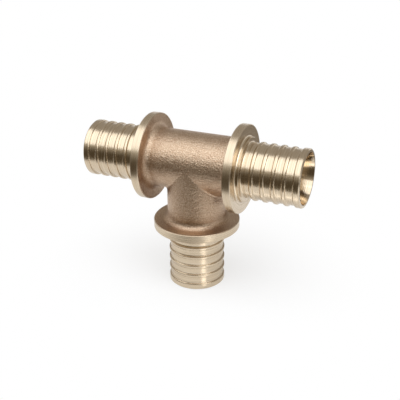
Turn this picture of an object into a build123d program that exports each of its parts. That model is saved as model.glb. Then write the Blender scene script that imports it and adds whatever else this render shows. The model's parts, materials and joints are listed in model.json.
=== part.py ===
from build123d import *

import os

# Equal pipe tee for sleeve-pressed plastic pipe: one casting with three turned, barbed stubs.
# The run lies along X and the branch points down, along -Z. The origin is where their axes
# cross. Each arm, going outwards, is a cast tube, a flange that stops the pressed sleeve, a
# small collar that stops the pipe, and a stub with barb rings that the widened pipe goes over.

# Cast tubes, with one outside diameter throughout
tube_diameter = 27.8
run_bore_diameter = 21.0
branch_bore_diameter = 20.6
crotch_fillet = 1.5  # where the branch tube grows out of the run tube

# Where each flange's outer face stands, from the crossing of the axes
run_reach = 24.15
branch_reach = 32.2

# Flange, as cast on its body side and turned on its rim and outer face
flange_diameter = 41.0
flange_thickness = 3.95
flange_edge = 0.3
hub_fillet = 3.0  # cast fillet from the tube to the flange

# Collar on the flange's outer face
collar_diameter = 30.0
collar_height = 1.85
collar_root_fillet = 0.7
collar_edge = 0.2

# Stub: a plain neck, barb rings, then a plain band at the mouth
neck_diameter = 25.4
neck_length = 2.9
neck_fillet = 0.8
barb_diameter = 26.8
barb_count = 4
barb_pitch = 4.9
barb_crest = 0.6
barb_flank = 0.95  # length of each rounded side of a ring
first_barb = 7.2  # from the mouth to the middle of the first ring
band_length = 2.5

# Mouth, opened out by a long shallow taper
mouth_diameter = 23.8
mouth_taper_length = 7.0
mouth_edge = 0.45

# Worked out from the sizes above
barbs_length = first_barb + (barb_count - 1) * barb_pitch + barb_crest / 2 + barb_flank
stub_length = collar_height + neck_fillet + neck_length + barbs_length

# The planes that each arm's half section is drawn on, where local X runs out along the arm
right = Plane(origin=(0, 0, 0), x_dir=(1, 0, 0), z_dir=(0, -1, 0))
left = Plane(origin=(0, 0, 0), x_dir=(-1, 0, 0), z_dir=(0, 1, 0))
down = Plane(origin=(0, 0, 0), x_dir=(0, 0, -1), z_dir=(0, 1, 0))
arms = (
    (right, run_reach, run_bore_diameter),
    (left, run_reach, run_bore_diameter),
    (down, branch_reach, branch_bore_diameter),
)


def flank(start, finish):
    """Rounded side of a barb ring, as two equal arcs that meet halfway up."""
    halfway = ((start[0] + finish[0]) / 2, (start[1] + finish[1]) / 2)
    first = TangentArc(start, halfway, tangent=(1, 0))
    TangentArc(halfway, finish, tangent=first % 1)


def arm_profile(plane, reach):
    """Half section of one arm from the crossing of the axes to its mouth, solid to its axis."""
    tube = tube_diameter / 2
    rim = flange_diameter / 2
    collar = collar_diameter / 2
    neck = neck_diameter / 2
    crest = barb_diameter / 2
    body_side = reach - flange_thickness
    hub_start = body_side - hub_fillet
    collar_face = reach + collar_height
    end = reach + stub_length
    band = end - band_length
    with BuildSketch(plane) as profile:
        with BuildLine():
            # Neck and barb rings, going outwards
            foot = collar_face + neck_fillet
            for place in reversed(range(barb_count)):
                rise = end - first_barb - place * barb_pitch - barb_crest / 2
                fall = rise + barb_crest
                Line((foot, neck), (rise - barb_flank, neck))
                flank((rise - barb_flank, neck), (rise, crest))
                Line((rise, crest), (fall, crest))
                foot = fall + barb_flank
                flank((fall, crest), (foot, neck))
            Line((foot, neck), (band - barb_flank, neck))
            flank((band - barb_flank, neck), (band, crest))

            # Band, mouth and axis, then back out along the tube, over the flange and the collar
            inner = Polyline(
                (band, crest),
                (end - mouth_edge, crest),
                (end, crest - mouth_edge),
                (end, 0),
                (0, 0),
                (0, tube),
                (hub_start, tube),
            )
            hub = TangentArc(inner @ 1, (body_side, tube + hub_fillet), tangent=(1, 0))
            face = Polyline(
                hub @ 1,
                (body_side, rim - flange_edge),
                (body_side + flange_edge, rim),
                (reach - flange_edge, rim),
                (reach, rim - flange_edge),
                (reach, collar + collar_root_fillet),
            )
            root = TangentArc(face @ 1, (reach + collar_root_fillet, collar), tangent=(0, -1))
            step = Polyline(
                root @ 1,
                (collar_face - collar_edge, collar),
                (collar_face, collar - collar_edge),
                (collar_face, neck + neck_fillet),
            )
            TangentArc(step @ 1, (collar_face + neck_fillet, neck), tangent=(0, -1))
        make_face()
    return profile.sketch


def waterway_profile(plane, reach, bore_diameter):
    """Half section of the space inside one arm, from the crossing to its tapered mouth."""
    end = reach + stub_length
    taper_start = end - mouth_taper_length
    with BuildSketch(plane) as profile:
        with BuildLine():
            Polyline(
                (0, 0),
                (end, 0),
                (end, mouth_diameter / 2),
                (taper_start, bore_diameter / 2),
                (0, bore_diameter / 2),
                close=True,
            )
        make_face()
    return profile.sketch


with BuildPart() as tee_body:
    # Outside of the three arms, blended where the branch leaves the run
    for plane, reach, bore_diameter in arms:
        revolve(arm_profile(plane, reach), axis=Axis(plane.origin, plane.x_dir))
    fillet(tee_body.edges().filter_by(GeomType.ELLIPSE), crotch_fillet)

    # Waterway, which opens out at each mouth
    for plane, reach, bore_diameter in arms:
        revolve(
            waterway_profile(plane, reach, bore_diameter),
            axis=Axis(plane.origin, plane.x_dir),
            mode=Mode.SUBTRACT,
        )

tee_body.part.label = "tee_body"
os.makedirs("parts", exist_ok=True)
export_step(tee_body.part, "parts/tee_body.step")
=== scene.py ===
import json
import math

import bpy
from mathutils import Matrix, Vector


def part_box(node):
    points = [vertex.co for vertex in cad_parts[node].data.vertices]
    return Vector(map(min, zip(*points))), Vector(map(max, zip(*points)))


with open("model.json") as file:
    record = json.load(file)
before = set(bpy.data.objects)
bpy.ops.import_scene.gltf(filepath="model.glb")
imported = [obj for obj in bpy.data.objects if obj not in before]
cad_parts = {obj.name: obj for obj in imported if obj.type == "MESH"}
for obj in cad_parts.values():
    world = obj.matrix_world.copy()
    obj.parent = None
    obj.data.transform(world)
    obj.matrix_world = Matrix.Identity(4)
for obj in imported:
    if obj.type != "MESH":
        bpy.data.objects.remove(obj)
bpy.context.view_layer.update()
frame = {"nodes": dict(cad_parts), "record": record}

# ---------------------------------------------------------------------------
# The tee: one gunmetal casting, blasted to a fine brown grain on its tubes and on the body side of
# each flange. The flanges' rims and outer faces, the collars, the stubs and the mouths are then
# turned on a lathe, which leaves bright metal with fine rings round each arm.
# ---------------------------------------------------------------------------
MM = 0.001


class Wire:
    """A number inside a material, which Python's operators act on."""

    def __init__(self, finish, socket):
        self.finish = finish
        self.socket = socket

    def maths(self, operation, *others):
        """A Math node's result from this number and others."""
        terms = dict(enumerate((self, *others)))
        return self.finish.node("ShaderNodeMath", {"operation": operation}, terms)

    def __add__(self, other):
        return self.maths("ADD", other)

    __radd__ = __add__

    def __mul__(self, other):
        return self.maths("MULTIPLY", other)

    __rmul__ = __mul__

    def __sub__(self, other):
        return self.maths("SUBTRACT", other)

    def __rsub__(self, other):
        return self * -1.0 + other

    def __abs__(self):
        return self.maths("ABSOLUTE")

    def __gt__(self, other):
        return self.maths("GREATER_THAN", other)

    def __lt__(self, other):
        return self.maths("LESS_THAN", other)

    def __or__(self, other):
        return self.maths("MAXIMUM", other)

    def ease(self, start, end, low=0.0, high=1.0):
        """Goes smoothly from low to high as the number goes from start to end."""
        settings = {"interpolation_type": "SMOOTHSTEP"}
        ends = {"Value": self, "From Min": start, "From Max": end, "To Min": low, "To Max": high}
        return self.finish.node("ShaderNodeMapRange", settings, ends)


class Finish:
    """A surface finish, made as a material whose nodes are added one by one."""

    def __init__(self, name):
        self.material = bpy.data.materials.new(name)
        self.material.use_nodes = True
        self.tree = self.material.node_tree
        self.tree.nodes.clear()

    def node(self, kind, settings=None, inputs=None, output=0):
        """Adds a node, first its settings and then its sockets, and gives one of its outputs."""
        node = self.tree.nodes.new(kind)
        for name, value in (settings or {}).items():
            setattr(node, name, value)
        for name, value in (inputs or {}).items():
            if isinstance(value, Wire):
                self.tree.links.new(value.socket, node.inputs[name])
            else:
                node.inputs[name].default_value = value
        return Wire(self, node.outputs[output]) if node.outputs else None

    def place(self):
        """The point on the object, in millimetres: the whole vector, then X, Y and Z."""
        metres = self.node("ShaderNodeTexCoord", output="Object")
        whole = self.node(
            "ShaderNodeVectorMath", {"operation": "SCALE"}, {"Vector": metres, "Scale": 1 / MM}
        )
        parts = [self.node("ShaderNodeSeparateXYZ", {}, {0: whole}, axis) for axis in "XYZ"]
        return whole, *parts

    def blend(self, factor, first, second):
        """A colour between two, by a factor from 0 to 1."""
        settings = {"data_type": "RGBA"}
        return self.node("ShaderNodeMix", settings, {0: factor, 6: first, 7: second}, 2)

    def grain(self, where, scale, detail=2.0, roughness=0.5):
        """Noise in space, with features of about 1/scale mm."""
        inputs = {"Vector": where, "Scale": scale, "Detail": detail, "Roughness": roughness}
        return self.node("ShaderNodeTexNoise", {"noise_dimensions": "3D"}, inputs)

    def rings(self, along, scale, detail=2.0, roughness=0.5):
        """Noise that changes only along a line, so that it makes rings round an arm."""
        inputs = {"W": along, "Scale": scale, "Detail": detail, "Roughness": roughness}
        return self.node("ShaderNodeTexNoise", {"noise_dimensions": "1D"}, inputs)

    def surface(self, shader):
        """Ends the material with its surface shader."""
        self.node("ShaderNodeOutputMaterial", {}, {"Surface": shader})
        return self.material


# Sizes in millimetres: faces and bores from the tee's mounts, and ends from its box, in metres
mounts = {mount["name"]: mount for mount in frame["record"]["mounts"]}
tee_low, tee_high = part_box("tee_body")
run_face = mounts["right_sleeve_stop"]["pos_m"][0] / MM
branch_face = -mounts["branch_sleeve_stop"]["pos_m"][2] / MM
run_bore = mounts["run_bore"]["dims"]["r_mm"]
branch_bore = mounts["branch_bore"]["dims"]["r_mm"]
run_end = tee_high.x / MM
branch_end = -tee_low.z / MM
flange_thickness = 3.95
flange_radius = 20.5
mouth_radius = 11.9
mouth_taper = 7.0
run_body_side = run_face - flange_thickness
branch_body_side = branch_face - flange_thickness

# Colours of the bare metal
brown_skin = (0.45, 0.30, 0.20, 1)
grey_skin = (0.50, 0.347, 0.237, 1)
blasted_peaks = (0.68, 0.535, 0.39, 1)
dull_cut = (0.61, 0.495, 0.355, 1)
bright_cut = (0.68, 0.565, 0.42, 1)

# Depths of the grain and of the lathe's rings, in millimetres
swell_depth = 0.08
pit_depth = 0.28
speck_depth = 0.06
fine_ring_depth = 0.03
broad_ring_depth = 0.045

gunmetal = Finish("gunmetal")
spot, x, y, z = gunmetal.place()
along_run = abs(x)
along_branch = 0.0 - z
from_run_axis = (y * y + z * z).maths("SQRT")
from_branch_axis = (x * x + y * y).maths("SQRT")

# Where the lathe has cut: outwards of each flange's body side, but not in the bores, which keep
# their cast skin up to the mouths' tapers
cast_up_to = 0.02
cut_from = 0.12
bore_skin = 0.1
cut_run = along_run.ease(run_body_side + cast_up_to, run_body_side + cut_from)
cut_branch = along_branch.ease(branch_body_side + cast_up_to, branch_body_side + cut_from)
in_run_bore = (from_run_axis < run_bore + bore_skin) * (along_run < run_end - mouth_taper)
in_branch_bore = (from_branch_axis < branch_bore + bore_skin) * (
    along_branch < branch_end - mouth_taper
)
turned = (cut_run | cut_branch) * (1.0 - (in_run_bore | in_branch_bore))

# Lathe rings: they change along each arm's axis and outwards on its flat faces, and are fainter
# in the mouths. The branch's own are measured from a little above its flange.
above_flange = 2.0
mouth_polish = 0.8
on_branch = along_branch > branch_body_side - above_flange
radius = from_run_axis + (from_branch_axis - from_run_axis) * on_branch
line = radius + along_run + (along_branch - along_run) * on_branch
fine_rings = gunmetal.rings(line, 7.0, detail=3.0, roughness=0.6)
broad_rings = gunmetal.rings(line, 1.3)
in_mouth = radius.ease(mouth_radius + 0.3, mouth_radius)
ring_height = fine_rings * fine_ring_depth + broad_rings * broad_ring_depth
ring_height = ring_height * (1.0 - in_mouth * mouth_polish)

# Cast skin: blasted grain over soft unevenness
coarse = gunmetal.grain(spot, 0.18)
pits = gunmetal.grain(spot, 1.6, roughness=0.6)
specks = gunmetal.grain(spot, 2.2, roughness=0.6)
cast_height = pits * pit_depth + coarse * swell_depth + specks * speck_depth

height = cast_height + (ring_height - cast_height) * turned
relief = gunmetal.node("ShaderNodeBump", {}, {"Strength": 1.0, "Distance": MM, "Height": height})

# Colour: skin that varies slowly and has paler peaks, and warm bright metal where it is cut
skin = gunmetal.blend(coarse.ease(0.35, 0.65), brown_skin, grey_skin)
skin = gunmetal.blend(specks.ease(0.40, 0.66), skin, blasted_peaks)
bright = gunmetal.blend(broad_rings.ease(0.3, 0.7), dull_cut, bright_cut)
colour = gunmetal.blend(turned, skin, bright)

# Gloss: the rims are cut a little rougher, and the mouths are the smoothest
on_rim = radius.ease(flange_radius - 1.2, flange_radius - 0.2)
cast_roughness = 0.31 + pits * 0.12
cut_roughness = 0.16 + fine_rings * 0.10 + on_rim * 0.07 - in_mouth * 0.08
roughness = cast_roughness + (cut_roughness - cast_roughness) * turned

metal = gunmetal.node(
    "ShaderNodeBsdfPrincipled",
    {},
    {"Base Color": colour, "Metallic": 1.0, "Roughness": roughness, "Normal": relief},
)
tee = frame["nodes"]["tee_body"]
tee.data.materials.clear()
tee.data.materials.append(gunmetal.surface(metal))

# ---------------------------------------------------------------------------
# The table and the wall: a wide table painted white, and a low white wall round its far edge.
# What looks at them sees white, but for the soft shadow close to the tee.
# ---------------------------------------------------------------------------
white = (1, 1, 1, 1)
white_paint = (0.93, 0.93, 0.93, 1)
table_size = 12.0
wall_height = 0.9
wall_sides = 96
floor_z = tee_low.z


def glow(finish, colour, strength=1.0):
    """A shader that gives off its own light."""
    return finish.node("ShaderNodeEmission", {}, {"Color": colour, "Strength": strength})


table_top = Finish("white table")
spot, x, y, z = table_top.place()
paint = table_top.node("ShaderNodeBsdfDiffuse", {}, {"Color": white_paint})
by_camera, by_gloss, through_glass = [
    table_top.node("ShaderNodeLightPath", {}, {}, ray)
    for ray in ("Is Camera Ray", "Is Glossy Ray", "Is Transmission Ray")
]

# The eye and shiny metal see the table as white, and a little greyer close round the tee
away = (x * x + y * y).maths("SQRT")
white_in_view = by_camera * away.ease(10.0, 90.0, 0.65, 1.0)
white_in_gloss = (by_gloss | through_glass) * away.ease(10.0, 150.0, 0.35, 1.0)
mixed = table_top.node(
    "ShaderNodeMixShader",
    {},
    {0: white_in_view | white_in_gloss, 1: paint, 2: glow(table_top, white)},
)
table_top.surface(mixed)

bpy.ops.mesh.primitive_plane_add(size=table_size, location=(0, 0, floor_z))
table = bpy.context.object
table.name = "white_table"
table.data.materials.append(table_top.material)

bpy.ops.mesh.primitive_cylinder_add(
    vertices=wall_sides,
    radius=table_size / 2,
    depth=wall_height,
    end_fill_type="NOTHING",
    location=(0, 0, floor_z + wall_height / 2),
)
wall = bpy.context.object
wall.name = "white_wall"
wall.data.materials.append(table_top.material)

# ---------------------------------------------------------------------------
# The lamps: a wide softbox hangs flat over the left front of the table and gives most of the
# light, and a smaller one faces the tee from the right. A pale warm room fills in the rest.
# ---------------------------------------------------------------------------
lamp_colour = (0.95, 1.0, 1.06)
room_colour = (0.41, 0.385, 0.35, 1)


def lamp(name, width, depth, radiance, place, aim):
    """A flat lamp of that radiance, which faces a point."""
    data = bpy.data.lights.new(name, "AREA")
    data.shape = "RECTANGLE"
    data.size = width
    data.size_y = depth
    data.energy = radiance * math.pi * width * depth
    data.color = lamp_colour
    lamp_object = bpy.data.objects.new(name, data)
    bpy.context.scene.collection.objects.link(lamp_object)
    lamp_object.location = place
    lamp_object.rotation_euler = (Vector(place) - Vector(aim)).to_track_quat("Z", "Y").to_euler()
    lamp_object.visible_camera = False


lamp("softbox", 0.95, 0.58, 1.43, place=(-0.10, -0.275, 0.30), aim=(-0.10, -0.275, 0.0))
lamp("side lamp", 0.20, 0.25, 1.5, place=(0.22, -0.117, 0.168), aim=(0, 0, 0))

world = bpy.data.worlds.new("studio")
bpy.context.scene.world = world
world.use_nodes = True
world.node_tree.nodes["Background"].inputs["Color"].default_value = room_colour

# ---------------------------------------------------------------------------
# The cards: flat sheets that glow with their own light, though they are no lamps. They show only
# in shiny surfaces, where they paint reflections as dark and pale bands on the turned metal. One
# glowing in graded greys stands in front, a plain grey one behind, and a small one glowing
# brighter than white lies on the table to paint a highlight.
# ---------------------------------------------------------------------------
# Glow colours of the cards, which paint dark, pale and grey reflections on the metal
dark_reflection_glow = (0.09, 0.071, 0.045, 1)
pale_reflection_glow = (0.50, 0.46, 0.39, 1)
grey_reflection_glow = (0.30, 0.27, 0.235, 1)


def card(name, finish, corners):
    """A flat card through four corners, in metres, that only shiny surfaces see."""
    mesh = bpy.data.meshes.new(name)
    mesh.from_pydata(corners, [], [(0, 1, 2, 3)])
    mesh.materials.append(finish.material)
    card_object = bpy.data.objects.new(name, mesh)
    bpy.context.scene.collection.objects.link(card_object)
    card_object.visible_camera = False
    card_object.visible_diffuse = False
    card_object.visible_shadow = False


def standing(depth, left, right, top):
    """The corners of an upright card that stands on the table at that depth."""
    return [
        (left, depth, floor_z), (right, depth, floor_z), (right, depth, top), (left, depth, top)
    ]


def on_table(outward, degrees):
    """A point just above the table, by its distance and bearing from the branch's axis."""
    bearing = math.radians(degrees)
    return (outward * math.sin(bearing), -outward * math.cos(bearing), floor_z + 0.5 * MM)


# Painted reflections: the card's glow is dark in the middle, pale at the top and greyer again near
# the table, so the metal shows a dark band under the softbox's edge
graded_reflection_card = Finish("graded card")
spot, x, y, z = graded_reflection_card.place()
shade = z.ease(-2.0, 46.0) + z.ease(-26.0, -62.0, 0.0, 0.38)
tone = graded_reflection_card.blend(shade, dark_reflection_glow, pale_reflection_glow)
graded_reflection_card.surface(glow(graded_reflection_card, tone))
card("front_card", graded_reflection_card, standing(depth=-0.075, left=-0.40, right=0.30, top=0.041))

# Painted reflection: a plain grey card behind glows and paints a grey reflection in the metal,
# where it would otherwise show the white wall
grey_reflection_card = Finish("back card")
grey_reflection_card.surface(glow(grey_reflection_card, grey_reflection_glow))
card("back_card", grey_reflection_card, standing(depth=0.115, left=-0.30, right=0.30, top=-0.005))

# Painted highlight: a small card lying on the table glows at twice white and paints a bright
# upright stripe on the branch and its flange rim
near_end = 0.016
far_end = 0.110
highlight_glow_card = Finish("highlight glow card")
highlight_glow_card.surface(glow(highlight_glow_card, white, 2.0))
card(
    "highlight_glow_card",
    highlight_glow_card,
    [
        on_table(near_end, 36),
        on_table(far_end, 44),
        on_table(far_end, 57),
        on_table(near_end, 46),
    ],
)

# ---------------------------------------------------------------------------
# The camera: it stands a little to the right of the front and above the run, about a third of a
# metre off. From there the right mouth shows, and the branch points down.
# ---------------------------------------------------------------------------
azimuth = math.radians(23.05)
elevation = math.radians(24.72)
roll = math.radians(-0.23)
camera_distance = 0.3407
aim_right = 1.612 * MM  # what it looks at, from the crossing of the tee's axes
aim_up = -17.738 * MM
sensor_width = 36
focal_ratio = 1.837  # the lens's focal length, in widths of the sensor

back = Vector(
    (
        math.sin(azimuth) * math.cos(elevation),
        -math.cos(azimuth) * math.cos(elevation),
        math.sin(elevation),
    )
)
level = Vector((math.cos(azimuth), math.sin(azimuth), 0))
upright = back.cross(level)
side = level * math.cos(roll) + upright * math.sin(roll)
top = upright * math.cos(roll) - level * math.sin(roll)
eye = side * aim_right + top * aim_up + back * camera_distance

camera_data = bpy.data.cameras.new("camera")
camera_data.sensor_width = sensor_width
camera_data.lens = focal_ratio * sensor_width
camera = bpy.data.objects.new("camera", camera_data)
bpy.context.scene.collection.objects.link(camera)
camera.matrix_world = Matrix.Translation(eye) @ Matrix((side, top, back)).transposed().to_4x4()
bpy.context.scene.camera = camera
bpy.context.scene.view_settings.view_transform = "Standard"
